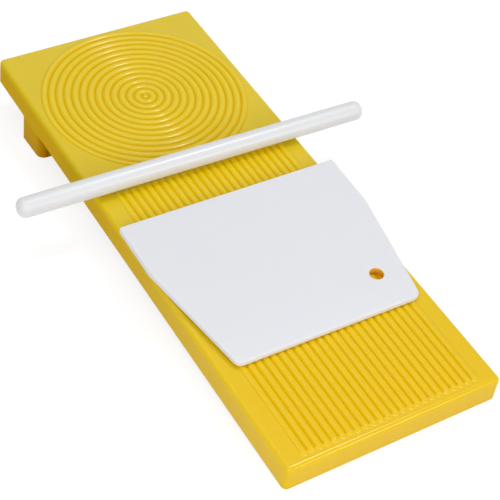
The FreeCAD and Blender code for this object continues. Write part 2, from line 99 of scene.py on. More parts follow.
class BoardSizes(bpy.types.PropertyGroup):
    """Sizes of the board and of the crests on it."""

    width: length("Width", "Board across its top", 86.2)
    length: length("Length", "Board from its near edge to its far edge", 219.0)
    side_height: length("Side height", "Side wall, from the plain top face down", 10.5)
    plate: length("Plate", "Plate over the hollow underside", 2.8)
    wall: length("Wall", "Side walls and foot walls", 2.8)
    draft: angle("Draft", "Slope of the side walls", 0.8)
    corner_round: length("Corner round", "Upright corners", 1.8)
    top_round: length("Top round", "Top edge", 1.6)
    bottom_round: length("Bottom round", "Outer bottom edge of the walls", 0.3)
    stiffener: length("Stiffener", "Thickness of the stiffeners and of the webs in the foot", 1.6)
    stiffener_inset: length("Stiffener inset", "Stiffeners end this far above the walls' bottom", 1.5)
    long_stiffeners: count("Long stiffeners", "Stiffeners along the board", 3)
    cross_stiffeners: count("Cross stiffeners", "Stiffeners across, from the near wall to the foot", 6)
    foot_drop: length("Foot drop", "Back of the foot, below the walls' bottom", 11.75)
    foot_length: length("Foot length", "Foot along the board", 14.9)
    foot_setback: length("Foot setback", "Foot's back face from the board's far edge", 23.8)
    foot_corner: length("Foot corner", "Upright front corners of the foot", 3.3)
    foot_rim: length("Foot rim", "Outer bottom rim of the foot", 0.5)
    rib_count: count("Ribs", "Straight ribs", 24)
    rib_pitch: length("Rib pitch", "From rib to rib", 3.02)
    rib_start: length("Rib start", "Ribs' near tips from the near edge", 3.15)
    rib_ring_gap: length("Gap", "Ribs' far tips from the rings", 2.3)
    ring_count: count("Rings", "Rings round the middle button", 13)
    ring_pitch: length("Ring pitch", "From ring to ring", 3.04)
    ring_margin: length("Ring margin", "Rings from the far edge", 1.73)
    crest_rise: length("Crest rise", "Crests above the plain top face", 0.5)
    groove_depth: length("Groove depth", "Grooves below the plain top face", 0.25)
    groove_fill: length("Groove fill", "Softness of the grooves' bottoms", 0.2)


class RodSizes(bpy.types.PropertyGroup):
    """Sizes of the rod and its place on the board."""

    diameter: length("Diameter", "Rod", 7.7)
    length: length("Length", "Rod from end to end", 145.4)
    end_round: length("End round", "Rims of the rod's ends", 3.0)
    place: length("Place", "Rod's axis from the board's near edge", 133.9)
    shift: length("Shift", "Middle of the rod, across the board", -0.7)
    turn: angle("Turn", "Rod's lie on the board", -1.5)


class ScraperSizes(bpy.types.PropertyGroup):
    """Sizes of the scraper and its place on the board."""

    width: length("Width", "Scraper across its parallel sides", 90.7)
    height: length("Height", "From the short edge to the long edge", 72.0)
    short_edge: length("Short edge", "Short edge, before its corners are rounded", 74.6)
    parallel: length("Parallel sides", "Length of the parallel sides", 23.5)
    thickness: length("Thickness", "Scraper", 2.5)
    short_corner: length("Short corners", "Corners of the short edge", 3.0)
    shoulder_corner: length("Shoulders", "Blunt corners where the sides turn in", 4.0)
    long_corner: length("Long corners", "Corners of the long edge", 1.0)
    rim_round: length("Rim round", "Rims of both faces", 0.6)
    bevel_length: length("Bevel length", "Bevel beside the short edge", 8.5)
    bevel_drop: length("Bevel drop", "Bevel's fall at the short edge", 0.3)
    hole_diameter: length("Hole", "Hanging hole", 5.2)
    hole_round: length("Hole rim", "Softened rims of the hanging hole", 0.25)
    hole_across: length("Hole across", "Hanging hole from the scraper's middle line", 28.1)
    hole_along: length("Hole along", "Hanging hole from the short edge", 14.9)
    clearance: length("Clearance", "Scraper and rod above the crests", 0.1)
    place: length("Place", "Short edge from the board's near edge", 41.85)
    shift: length("Shift", "Middle of the short edge, across the board", 0.53)
    turn: angle("Turn", "Scraper's lie on the board", -0.7)


class Finishes(bpy.types.PropertyGroup):
    """Colours and gloss of the plastics. The groove, wall and foot colours are painted shade, the hole's is
    a painted reflection.
    """

    board: colour("Board", "Yellow plastic on plain faces, at the near end", 235, 195, 0)
    # Far colour: partly the plastic's own tone and partly painted light, a more lemon yellow where the light
    # differs.
    far_board_tone_and_light: colour("Board's far end", "Yellow plastic on plain faces, at the far end", 225, 196, 3)
    # Groove colour: painted shade, the deeper orange that shade and light bounced between the crests give
    # down in the grooves.
    groove: colour("Grooves", "Yellow plastic at the bottom of the grooves", 230, 185, 0)
    # Wall colour: painted shade, walls darker and more orange than the top where less light falls on them.
    wall: colour("Walls", "Yellow plastic of the walls", 217, 174, 0)
    # Foot colour: painted shade, the deep orange of the foot's front in the shade under the board.
    foot: colour("Foot", "Yellow plastic of the foot", 197, 136, 0)
    rod: colour("Rod", "White plastic of the rod", 227, 228, 230)
    scraper: colour("Scraper", "White plastic of the scraper", 229, 230, 235)
    # Hole colour: painted reflection of the yellow light that the board throws into the hanging hole.
    hole_bounce_light: colour("Hole tint", "Inside of the scraper's hanging hole", 240, 180, 45)
    board_roughness: share("Board roughness", "Roughness of the yellow plastic", 0.35)
    board_polish: share("Board polish", "Roughness of the yellow plastic's polished skin", 0.2)
    rod_roughness: share("Rod roughness", "Roughness of the rod", 0.22)
    scraper_roughness: share("Scraper roughness", "Roughness of the scraper", 0.5)


class StageSettings(bpy.types.PropertyGroup):
    """Camera, lamps and floor."""

    distance: length("Distance", "Camera from the point it looks at", 521.0)
    azimuth: angle("Azimuth", "Camera's heading from +Y towards +X", 35.88)
    descent: angle("Descent", "Camera's look below level", 43.32)
    roll: angle("Roll", "How far the camera's right side leans up", 6.82)
    focal_length: bpy.props.FloatProperty(name="Focal length", description="Lens, in millimetres",
                                          default=104.71, min=1.0)
    floor: colour("Floor", "Pale floor", 236, 236, 236)


# Surfaces: a patch is a pair of arrays, points and the faces between them

def grid_patch(points):
    """Quads between the points of an array of rows, columns and coordinates."""
    rows, columns = points.shape[:2]
    index = np.arange(rows * columns).reshape(rows, columns)
    corners = (index[:-1, :-1], index[:-1, 1:], index[1:, 1:], index[1:, :-1])
    return points.reshape(-1, 3), np.stack(corners, axis=-1).reshape(-1, 4)


def lace(first, second, first_place, second_place):
    """Triangles between two lines of points.

    Both lines run in the order of their places. The steps of the two lines are merged in that order,
    and each step makes a triangle with the point that the other line has reached.
    """
    size = len(first)
    order = np.argsort(np.concatenate((first_place[1:], second_place[1:])), kind="stable")
    from_first = order < size - 1
    from_second = ~from_first
    at_first = np.cumsum(from_first) - from_first
    at_second = size + np.cumsum(from_second) - from_second
    tip = np.where(from_first, at_first + 1, at_second + 1)
    return np.concatenate((first, second)), np.column_stack((at_first, at_second, tip))


def lace_across(first, second):
    """Triangles between two lines of points that both run across the board."""
    return lace(first, second, first[:, 0], second[:, 0])


def rounded_outline(corners, radii, steps, stops):
    """Points and outward normals round a convex outline, anticlockwise.

    Each corner is an arc that touches its two sides. The side after it has a point at each of its
    stops, which are distances from the corner.
    """
    corners = np.array(corners)
    sides = np.roll(corners, -1, axis=0) - corners
    sides /= np.linalg.norm(sides, axis=1, keepdims=True)
    after = np.column_stack((sides[:, 1], -sides[:, 0]))
    before = np.roll(after, 1, axis=0)
    points = []
    normals = []
    for corner, radius, first, second, side, places in zip(corners, radii, before, after, sides, stops):
        start = math.atan2(first[1], first[0])
        bend = math.acos(first @ second)
        angles = start + np.linspace(0, bend, steps)
        around = np.column_stack((np.cos(angles), np.sin(angles)))
        centre = corner - radius * (first + second) / (1 + first @ second)
        points += [centre + radius * around, corner + np.outer(places, side)]
        normals += [around, np.tile(second, (len(places), 1))]
    return np.concatenate(points), np.concatenate(normals)


def with_height(plan, height):
    """Points in space from points in plan and their heights."""
    return np.concatenate((plan, np.broadcast_to(height, plan.shape[:-1])[..., None]), axis=-1)


def soft_step(value, start, end):
    """A smooth rise from 0 at start to 1 at end."""
    part = np.clip((value - start) / (end - start), 0, 1)
    return part * part * (3 - 2 * part)


def soft_max(first, second, fill):
    """The larger of two heights, with the crease between them filled over the height fill."""
    overlap = np.maximum(fill - np.abs(first - second), 0)
    return np.maximum(first, second) + overlap ** 2 / (4 * fill)


def from_nearest(value, pitch):
    """Distance from the nearest multiple of the pitch."""
    return np.abs(np.mod(value + pitch / 2, pitch) - pitch / 2)


def arc_points(start, end, steps):
    """Cosines and sines of evenly spaced angles."""
    angles = np.linspace(start, end, steps)
    return np.cos(angles), np.sin(angles)


def place_matrix(size):
    """The board's place: tilted to stand on its foot and on its near bottom edge."""
    shape = BoardShape(size)
    return (Matrix.Rotation(math.atan(shape.slope), 4, "X")
            @ Matrix.Translation((0, -shape.foot_middle, shape.foot_depth)))


def add_object(name, data):
    """A new object in the scene."""
    item = bpy.data.objects.new(name, data)
    bpy.context.scene.collection.objects.link(item)
    return item


def build_piece(name, patches, place, smooth_angle, node, material):
    """Welds patches into one closed mesh, in the frame's axes, which stands for a CAD node."""
    points = np.concatenate([points for points, faces in patches])
    starts = np.cumsum([0] + [len(points) for points, faces in patches])
    faces = [face for start, (_, patch) in zip(starts, patches) for face in (patch + start).tolist()]
    mesh = bpy.data.meshes.new(name)
    mesh.from_pydata(points.tolist(), [], faces)
    mesh.transform(place)
    weld(mesh)
    mesh.shade_smooth()
    mesh.set_sharp_from_angle(angle=smooth_angle)
    mesh.materials.append(material)
    piece = add_object(name, mesh)
    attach(piece, node)
    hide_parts(node)
    return piece


def weld(mesh):
    """Joins the patches' shared points and turns every face outwards."""
    work = bmesh.new()
    work.from_mesh(mesh)
    bmesh.ops.remove_doubles(work, verts=work.verts, dist=WELD_DISTANCE)
    loose = [vert for vert in work.verts if not vert.link_faces]
    bmesh.ops.delete(work, geom=loose, context="VERTS")
    bmesh.ops.recalc_face_normals(work, faces=work.faces)
    open_edges = sum(len(edge.link_faces) != 2 for edge in work.edges)
    work.to_mesh(mesh)
    work.free()
    if open_edges:
        raise RuntimeError(f"{mesh.name}: {open_edges} edges don't join two faces")


# The board

class BoardShape:
    """Measures of the board that follow from its sizes, in its own axes."""

    CREST_STEPS = 12
    RING_STEPS = 10
    RING_SIDES = 256
    OUTER_STEPS = 10
    CORNER_STEPS = 7
    ROUND_STEPS = 7
    NEAR_STOPS = 46
    NOSE_ROWS = 10
    RIB_ROWS = 24
    RING_ROWS = 36
    RIM_LINES = (0.85, 0.94, 0.985)
    BOTTOM_STEPS = 5
    RIM_STEPS = 5
    FOOT_CORNER_STEPS = 9
    FADE_STEPS = 4
    SUPPORT = 0.03 * MM
    WALL_SUPPORT = 0.15 * MM
    RUN_OUT_START = 0.5 * MM
    GAP_TO_RINGS = 0.12 * MM
    RECESS_LEAD = 0.3 * MM
    RECESS_RISE = 0.7 * MM
    RECESS_SHARE = 1.4
    GROOVE_SHARE = 0.7
    FLANK_SHARE = 0.7
    NOSE_MARGIN = 0.25 * MM
    ROW_MARGIN = 1.0 * MM
    OUTER_FILL = 0.06 * MM
    FOOT_FADE = 1.5 * MM

    def __init__(self, size):
        self.size = size
        self.outset = size.side_height * math.tan(size.draft)
        self.foot_back = size.length - size.foot_setback
        self.foot_front = self.foot_back - size.foot_length
        self.foot_middle = self.foot_back - size.foot_length / 2
        self.slope = size.foot_drop / (self.foot_back + self.outset)
        self.foot_depth = size.side_height + self.slope * (self.foot_middle + self.outset)
        self.inner_half = size.width / 2 - size.wall
        self.outer_half = size.width / 2 + self.outset
        self.long_pitch = 2 * self.inner_half / (size.long_stiffeners + 1)
        self.cross_pitch = (self.foot_front - size.wall) / (size.cross_stiffeners + 1)
        depth = size.crest_rise + size.groove_depth
        self.rib_radius = (size.rib_pitch ** 2 / 4 + depth ** 2) / (2 * depth)
        self.ring_radius = (size.ring_pitch ** 2 / 4 + depth ** 2) / (2 * depth)
        self.rib_half_width = self.half_width(self.rib_radius)
        self.rib_field_half = (size.rib_count - 1) * size.rib_pitch / 2
        self.outer_crest = size.ring_count * size.ring_pitch
        self.ring_field = self.outer_crest + self.half_width(self.ring_radius)
        self.ring_middle = size.length - size.ring_margin - self.ring_field
        self.near_nose = size.rib_start + self.rib_half_width
        self.far_tip = self.ring_middle - self.ring_field - size.rib_ring_gap
        self.far_nose = self.far_tip - self.rib_half_width
        self.ribs_end = self.far_tip + size.rib_ring_gap / 2
        self.recess_floor = -self.RECESS_SHARE * size.groove_depth

    def half_width(self, radius):
        """Half a crest's width where it meets the plain top face."""
        return math.sqrt(radius ** 2 - (radius - self.size.crest_rise) ** 2)

    def crest(self, distance, radius):
        """Height of a crest: a circle's arc, sunk so that its top is at the crest rise."""
        return np.sqrt(np.maximum(radius ** 2 - distance ** 2, 0)) - radius + self.size.crest_rise

    def ribs(self, x, y):
        """Height over the ribs.

        A rib is the upper part of a round-ended bar. Its height follows from the distance to the
        bar's axis, which is across the rib and, past its noses, along it too. The recess between the
        bars is a flat floor that rises to the plain face round them.
        """
        size = self.size
        pitch = size.rib_pitch
        across = from_nearest(x + self.rib_field_half, pitch)
        outside = np.abs(x) > self.rib_field_half
        across = np.where(outside, np.abs(x) - self.rib_field_half, across)
        along = np.maximum(self.near_nose - y, 0) + np.maximum(y - self.far_nose, 0)
        own = self.crest(np.hypot(across, along), self.rib_radius)
        beside = self.crest(np.hypot(pitch - across, along), self.rib_radius)
        beside = np.where(outside, own, beside)
        floor = soft_step(y, self.near_nose - self.RECESS_LEAD, self.near_nose + self.RECESS_RISE)
        floor *= 1 - soft_step(y, self.far_nose - self.RECESS_RISE, self.far_nose + self.RECESS_LEAD)
        floor = np.where(outside, 0, floor * self.recess_floor)
        both = np.where(outside, own, soft_max(own, beside, size.groove_fill))
        return soft_max(both, floor, np.where(outside, self.OUTER_FILL, size.groove_fill))

    def rings(self, radius):
        """Height over the rings: arcs round each crest, at this distance from the rings' middle."""
        size = self.size
        pitch = size.ring_pitch
        outside = radius > self.outer_crest
        across = from_nearest(radius, pitch)
        own = self.crest(across, self.ring_radius)
        beside = self.crest(pitch - across, self.ring_radius)
        inside = soft_max(own, beside, size.groove_fill)
        return np.where(outside, self.outer_flank(radius - self.outer_crest), inside)

    def outer_flank(self, distance):
        """Height beyond the outermost crest: its arc, then a cubic that runs out level on the plain face."""
        start = self.RUN_OUT_START
        span = self.ring_field + self.GAP_TO_RINGS - self.outer_crest - start
        part = np.clip((distance - start) / span, 0, 1)
        height = math.sqrt(self.ring_radius ** 2 - start ** 2) - self.ring_radius + self.size.crest_rise
        slope = -start / math.sqrt(self.ring_radius ** 2 - start ** 2)
        run_out = height * (1 + 2 * part) * (1 - part) ** 2 + slope * span * part * (1 - part) ** 2
        return np.where(distance < start, self.crest(distance, self.ring_radius), run_out)

    def groove_share(self, points):
        """How far points are down in the grooves: from 0 on the crests to 1 at the bottoms.

        Beyond the outermost crest it swells to a part of that half way down the flank. The colour takes
        painted shade in the grooves by this share.
        """
        size = self.size
        x, y, rise = points.T
        reach = self.rib_field_half + size.rib_pitch / 2
        among_ribs = (np.abs(x) < reach) & (y > self.near_nose) & (y < self.far_nose)
        radius = np.hypot(x, y - self.ring_middle)
        grooved = (among_ribs | (radius < self.outer_crest)) & (rise > -2 * size.groove_depth)
        full_depth = size.crest_rise + self.GROOVE_SHARE * size.groove_depth
        deep = np.clip((size.crest_rise - rise) / full_depth, 0, 1)
        part = np.clip(rise / size.crest_rise, 0, 1)
        on_flank = (radius >= self.outer_crest) & (radius < self.ring_field + self.GAP_TO_RINGS)
        flank = 4 * self.FLANK_SHARE * part * (1 - part)
        return np.where(grooved, deep, np.where(on_flank, flank, 0))

    def bottom_round(self, y):
        """Rounding of the walls' bottom edge, which fades away beside the foot."""
        before = soft_step(y, self.foot_front - self.FOOT_FADE, self.foot_front)
        after = soft_step(y, self.foot_back, self.foot_back + self.FOOT_FADE)
        return self.size.bottom_round * (1 - before + after)

    def bottom_offset(self, y):
        """How far the walls' flat bottom reaches outside the top outline."""
        size = self.size
        small = self.bottom_round(y)
        return (size.side_height - small) * math.tan(size.draft) - small / math.cos(size.draft)

    def side_rows(self):
        """Places along the board that its top, its walls and its underside share."""
        size = self.size
        nose = np.linspace(-self.RECESS_LEAD, self.rib_half_width + self.NOSE_MARGIN, self.NOSE_ROWS)
        rim = size.foot_rim * (1 - np.cos(np.linspace(0, math.pi / 2, self.RIM_STEPS)))
        corner = np.linspace(0, math.pi / 2, self.FOOT_CORNER_STEPS)
        corner = size.foot_corner * (1 - np.sin(corner))
        fade = np.linspace(0, self.FOOT_FADE, self.FADE_STEPS)
        stiffeners = size.wall + np.arange(1, size.cross_stiffeners + 1) * self.cross_pitch
        rows = np.concatenate((
            [size.corner_round, size.length - size.corner_round, size.wall, size.length - size.wall],
            self.near_nose - nose, self.far_nose + nose,
            np.linspace(self.near_nose + self.ROW_MARGIN, self.far_nose - self.ROW_MARGIN, self.RIB_ROWS),
            np.linspace(self.ribs_end, size.length - size.corner_round, self.RING_ROWS),
            stiffeners - size.stiffener / 2, stiffeners + size.stiffener / 2,
            self.foot_front + rim, self.foot_back - rim, self.foot_front + corner,
            self.foot_front - fade, self.foot_back + fade,
            [self.foot_front + size.wall, self.foot_back - size.wall]))
        return np.unique(np.round(rows, 7))


def board_patches(size):
    """The whole board: crests and plain top, drafted walls, and the hollow underside."""
    shape = BoardShape(size)
    rows = shape.side_rows()
    near_stops = np.linspace(size.corner_round, size.width - size.corner_round, shape.NEAR_STOPS + 2)
    near_stops = near_stops[1:-1]
    half = size.width / 2
    corners = ((-half, 0), (half, 0), (half, size.length), (-half, size.length))
    stops = (near_stops, rows[1:-1], near_stops, size.length - rows[-2:0:-1])
    outline, normals = rounded_outline(corners, [size.corner_round] * 4, shape.CORNER_STEPS, stops)
    walls = wall_points(shape, outline, normals)
    wall_patch = grid_patch(np.concatenate((walls, walls[:, :1]), axis=1))
    top = top_patches(shape, rows, walls[0])
    underside = underside_patches(shape, rows, walls[-1])
    return [wall_patch] + top + underside


def wall_points(shape, outline, normals):
    """Profiles of the walls, one for each point of the outline.

    The profile runs from just inside the flat top, over the top edge's arc, down the drafted wall and
    round the bottom edge's arc to the flat bottom.
    """
    size = shape.size
    tan, cos, sin = math.tan(size.draft), math.cos(size.draft), math.sin(size.draft)
    top_middle = size.top_round * (tan - 1 / cos)
    cosines, sines = arc_points(math.pi / 2, size.draft, shape.ROUND_STEPS)
    top_out = top_middle + size.top_round * cosines
    top_down = size.top_round * (sines - 1)
    every = np.ones(len(outline))
    small = shape.bottom_round(outline[:, 1])
    bottom_out = shape.bottom_offset(outline[:, 1])
    cosines, sines = arc_points(size.draft, -math.pi / 2, shape.BOTTOM_STEPS)
    upper = top_down[-1] - shape.WALL_SUPPORT
    lower = size.side_height - small * (1 - sin) - shape.WALL_SUPPORT
    out = [every * (top_middle - shape.SUPPORT)] + [every * value for value in top_out]
    down = [every * 0] + [every * value for value in top_down]
    out += [every * -upper * tan, lower * tan]
    down += [every * upper, -lower]
    out += [bottom_out + small * value for value in cosines]
    down += [small * (value + 1) - size.side_height for value in sines]
    out, down = np.array(out), np.array(down)
    return with_height(outline + normals * out[..., None], down)


def near_line(shape, loop):
    """The part of a wall loop round the near edge, from its left end to its right end."""
    return loop[:2 * shape.CORNER_STEPS + shape.NEAR_STOPS]


def top_patches(shape, rows, loop):
    """Ribs on a grid, rings on a disc, and the plain face between them and the edges."""
    size = shape.size
    edge = loop[:, 0].max()
    pitch = size.rib_pitch
    field = shape.rib_field_half + pitch / 2
    columns = np.linspace(-field, field, size.rib_count * shape.CREST_STEPS + 1)
    margin = np.array([0.15 * MM, 0.4 * MM, (edge - field) / 2, edge - field])
    columns = np.concatenate((-field - margin[::-1], columns, field + margin))
    rib_rows = rows[rows <= shape.ribs_end + NEARLY_NONE]
    x, y = np.meshgrid(columns, rib_rows)
    ribs = np.stack((x, y, shape.ribs(x, y)), axis=-1)
    cap = lace_across(ribs[0], near_line(shape, loop))

    beyond = loop[loop[:, 1] > rib_rows[-1] + NEARLY_NONE]
    frame_line = np.concatenate((ribs[-1], beyond, ribs[-1, :1]))
    place = polar_place(shape, frame_line)
    turns = place[0] + np.linspace(0, 2 * math.pi, shape.RING_SIDES + 1)
    radii = ring_radii(shape)
    reach, turn = np.meshgrid(radii, turns, indexing="ij")
    disc = np.stack((reach * np.cos(turn), shape.ring_middle + reach * np.sin(turn),
                     shape.rings(reach)), axis=-1)
    disc[-1, :, 2] = 0
    plain = lace(disc[-1], frame_line, turns, place)
    return [grid_patch(ribs), cap, grid_patch(disc), plain]


def polar_place(shape, line):
    """Angle of each point about the rings' middle, growing along the line."""
    return np.unwrap(np.arctan2(line[:, 1] - shape.ring_middle, line[:, 0]))


def ring_radii(shape):
    """Radii of the disc's points: even steps over the crests, and closer ones at the last one's foot."""
    size = shape.size
    inner = np.linspace(0, shape.outer_crest, size.ring_count * shape.RING_STEPS + 1)
    width = shape.ring_field - shape.outer_crest
    parts = np.linspace(0, 1, shape.OUTER_STEPS + 1)[1:]
    outer = shape.outer_crest + (width + shape.GAP_TO_RINGS) * parts
    return np.concatenate((inner, outer))


def underside_patches(shape, rows, loop):
    """The underside: flat cells at four levels, joined by upright faces.

    Lines along the board cross the shared rows. Each cell between them is plate, stiffener, wall or
    foot, which gives it a level. Where neighbours differ, upright faces join their levels, each over
    an edge that runs to the next row or to the next line.
    """
    size = shape.size
    lines = underside_lines(shape, rows)
    across = np.stack([lines] * 4)
    along = np.broadcast_to(rows[None, :, None], across.shape)
    flat = np.ones_like(lines)
    heights = np.stack((-size.plate * flat,
                        -(size.side_height - size.stiffener_inset) * flat,
                        -size.side_height * flat,
                        foot_heights(shape, lines, along[0])))
    points = np.stack((across, along, heights), axis=-1)
    levels = underside_levels(shape, lines, rows)
    index = np.arange(points[..., 0].size).reshape(heights.shape)
    row, column = np.indices(levels.shape)
    flats = np.stack((index[levels, row, column], index[levels, row, column + 1],
                      index[levels, row + 1, column + 1], index[levels, row + 1, column]), axis=-1)
    faces = [flats.reshape(-1, 4)]
    for level in range(3):
        shallow = levels <= level
        for down, right in ((1, 0), (0, 1)):
            steps = np.argwhere(np.diff(shallow, axis=down)) + (right, down)
            r, c = steps.T
            faces.append(np.stack((index[level, r, c], index[level, r + down, c + right],
                                   index[level + 1, r + down, c + right],
                                   index[level + 1, r, c]), axis=-1))
    body = points.reshape(-1, 3), np.concatenate(faces)
    near = near_line(shape, loop)
    first_far = len(near) + len(rows) - 2
    far = loop[first_far:first_far + len(near)][::-1]
    return [body, lace_across(points[2, 0], near), lace_across(points[2, -1], far)]


def underside_lines(shape, rows):
    """Lines along the underside, one list of places across for each row.

    The outermost follow the walls' bottom edge, and the next ones the foot's outline in plan.
    """
    size = shape.size
    outer = size.width / 2 + shape.bottom_offset(rows)
    reach = np.clip(rows - shape.foot_front, 0, size.foot_corner)
    short_of = size.foot_corner - reach
    bend = size.foot_corner - np.sqrt(np.maximum(size.foot_corner ** 2 - short_of ** 2, 0))
    in_foot = (rows > shape.foot_front - NEARLY_NONE) & (rows < shape.foot_back + NEARLY_NONE)
    foot = shape.outer_half - np.where(in_foot, bend, size.foot_corner)
    rim = [shape.inner_half + part * (foot - shape.inner_half) for part in shape.RIM_LINES]
    middles = np.arange(1, size.long_stiffeners + 1) * shape.long_pitch - shape.inner_half
    inside = np.sort(np.concatenate((middles - size.stiffener / 2, middles + size.stiffener / 2,
                                     [-shape.inner_half, shape.inner_half])))
    outside = rim + [foot, outer]
    every = [-line for line in outside[::-1]] + [place + 0 * rows for place in inside] + outside
    return np.stack(every, axis=-1)


def underside_levels(shape, lines, rows):
    """Level of each cell: 0 plate, 1 stiffener, 2 wall, 3 foot."""
    size = shape.size
    x = (lines[1:, 1:] + lines[1:, :-1] + lines[:-1, 1:] + lines[:-1, :-1]) / 4
    y = (rows[1:] + rows[:-1])[:, None] / 2 + 0 * x
    webs = from_nearest(x + shape.inner_half, shape.long_pitch) < size.stiffener / 2
    crossing = from_nearest(y - size.wall, shape.cross_pitch) < size.stiffener / 2
    bars = webs | (crossing & (y < shape.foot_front))
    inside = np.abs(x) < shape.inner_half
    in_foot = (y > shape.foot_front) & (y < shape.foot_back)
    foot_walls = in_foot & ((y < shape.foot_front + size.wall) | (y > shape.foot_back - size.wall))
    end_walls = (y < size.wall) | (y > size.length - size.wall)
    levels = np.where(inside & bars & ~in_foot, 1, 0)
    levels = np.where(~inside | end_walls, 2, levels)
    levels = np.where(in_foot & (~inside | webs | foot_walls), 3, levels)
    columns = np.arange(levels.shape[1])
    levels[:, (columns == 0) | (columns == columns[-1])] = 2
    return levels


def foot_heights(shape, x, y):
    """Height of the foot's underside: the plane it stands on, with a quarter-round rim."""
    size = shape.size
    rest = -(size.side_height + shape.slope * (y + shape.outset))
    across = shape.outer_half - np.abs(x)
    inside = np.minimum(np.minimum(across, y - shape.foot_front), shape.foot_back - y)
    turn = size.foot_corner
    aside = turn - across
    ahead = turn - (y - shape.foot_front)
    in_corner = (aside > 0) & (ahead > 0)
    inside = np.where(in_corner, turn - np.hypot(aside, ahead), inside)
    short = np.clip(size.foot_rim - inside, 0, size.foot_rim)
    return rest + size.foot_rim - np.sqrt(size.foot_rim ** 2 - short ** 2)


# The loose pieces

def rod_patches(size):
    """A surface of revolution about X: flat ends, quarter-round rims and a straight side."""
    sides = 96
    rings = 40
    rim_steps = 9
    support = 0.15 * MM
    end_rings = (0, 0.5, 0.97)
    half = size.length / 2
    radius = size.diameter / 2
    rim = size.end_round
    cosines, sines = arc_points(0, math.pi / 2, rim_steps)
    end_x = half - rim + rim * cosines
    end_r = radius - rim + rim * sines
    inner = np.array(end_rings) * (radius - rim)
    side = np.linspace(half - rim - support, rim + support - half, rings)
    flat_end = np.full(len(end_rings), half)
    x = np.concatenate((flat_end, end_x, side, -end_x[::-1], -flat_end))
    r = np.concatenate((inner, end_r, np.full(rings, radius), end_r[::-1], inner[::-1]))
    turn = np.linspace(0, 2 * math.pi, sides + 1)
    return [grid_patch(np.stack((x[:, None] + 0 * turn, r[:, None] * np.cos(turn),
                                 r[:, None] * np.sin(turn)), axis=-1))]


def scraper_patches(size):
    """A flat card: rounded rims carried round its outline, and two faces drawn out from the hole.

    A face's points run in straight lines from the hole's rim to the outline. Near the short edge the
    upper face falls away to a bevel.
    """
    half, short = size.width / 2, size.short_edge / 2
    shoulder = size.height - size.parallel
    corners = ((-short, 0), (short, 0), (half, shoulder), (half, size.height), (-half, size.height),
               (-half, shoulder))
    radii = (size.short_corner, size.short_corner, size.shoulder_corner, size.long_corner,
             size.long_corner, size.shoulder_corner)
    following = corners[1:] + corners[:1]
    spans = [math.dist(start, end) for start, end in zip(corners, following)]
    clear = 4 * MM
    side_stops = 16
    corner_steps = 9
    rim_steps = 7
    hole_steps = 4
    face_rings = 25
    stops = [np.linspace(clear, span - clear, side_stops) for span in spans]
    outline, normals = rounded_outline(corners, radii, corner_steps, stops)
    outline = np.concatenate((outline, outline[:1]))
    normals = np.concatenate((normals, normals[:1]))

    rim = size.rim_round
    cosines, sines = arc_points(0, math.pi / 2, rim_steps)
    inset = rim * (1 - np.concatenate((cosines[::-1], cosines)))
    height = np.concatenate((size.thickness - rim * (1 - sines[::-1]), rim * (1 - sines)))
    rims = outline - normals * inset[:, None, None]
    heights = bevelled(size, rims, height[:, None])
    side = with_height(rims, heights)

    hole = np.array((size.hole_across, size.hole_along))
    inner = rims[0]
    toward = inner - hole
    toward /= np.linalg.norm(toward, axis=1, keepdims=True)
    soft = size.hole_round
    cosines, sines = arc_points(math.pi / 2, 0, hole_steps)
    ring_out = size.hole_diameter / 2 + soft * (1 - cosines)
    ring_down = soft * (1 - sines)
    part = np.linspace(0, 1, face_rings + 1)[1:, None, None]
    start = hole + toward * ring_out[0]
    face = start + (inner - start) * part
    upper_hole = with_height(hole + toward * ring_out[:, None, None],
                             (size.thickness - ring_down)[:, None])
    lower_hole = upper_hole * (1, 1, -1) + (0, 0, size.thickness)
    upper = with_height(face, bevelled(size, face, size.thickness))
    lower = with_height(face, 0 * face[..., 0])
    return [grid_patch(np.concatenate((lower[::-1], lower_hole, upper_hole[::-1], upper))),
            grid_patch(side)]


def bevelled(size, plan, height):
    """Heights with the bevel's fall, which is in step with the height above the lower face."""
    fall = size.bevel_drop * np.clip(1 - plan[..., 1] / size.bevel_length, 0, 1)
    return height * (1 - fall / size.thickness)


# Plastics

class Signal:
    """A node's output that takes part in Python expressions, each of which adds its Math nodes."""

    def __init__(self, nodes, socket):
        self.nodes = nodes
        self.socket = socket

    def math(self, operation, first, second):
        return self.nodes.add("ShaderNodeMath", {"operation": operation}, {0: first, 1: second})

    def __add__(self, other):
        return self.math("ADD", self, other)

    def __sub__(self, other):
        return self.math("SUBTRACT", self, other)

    def __rsub__(self, other):
        return self.math("SUBTRACT", other, self)

    def __mul__(self, other):
        return self.math("MULTIPLY", self, other)

    __radd__ = __add__
    __rmul__ = __mul__


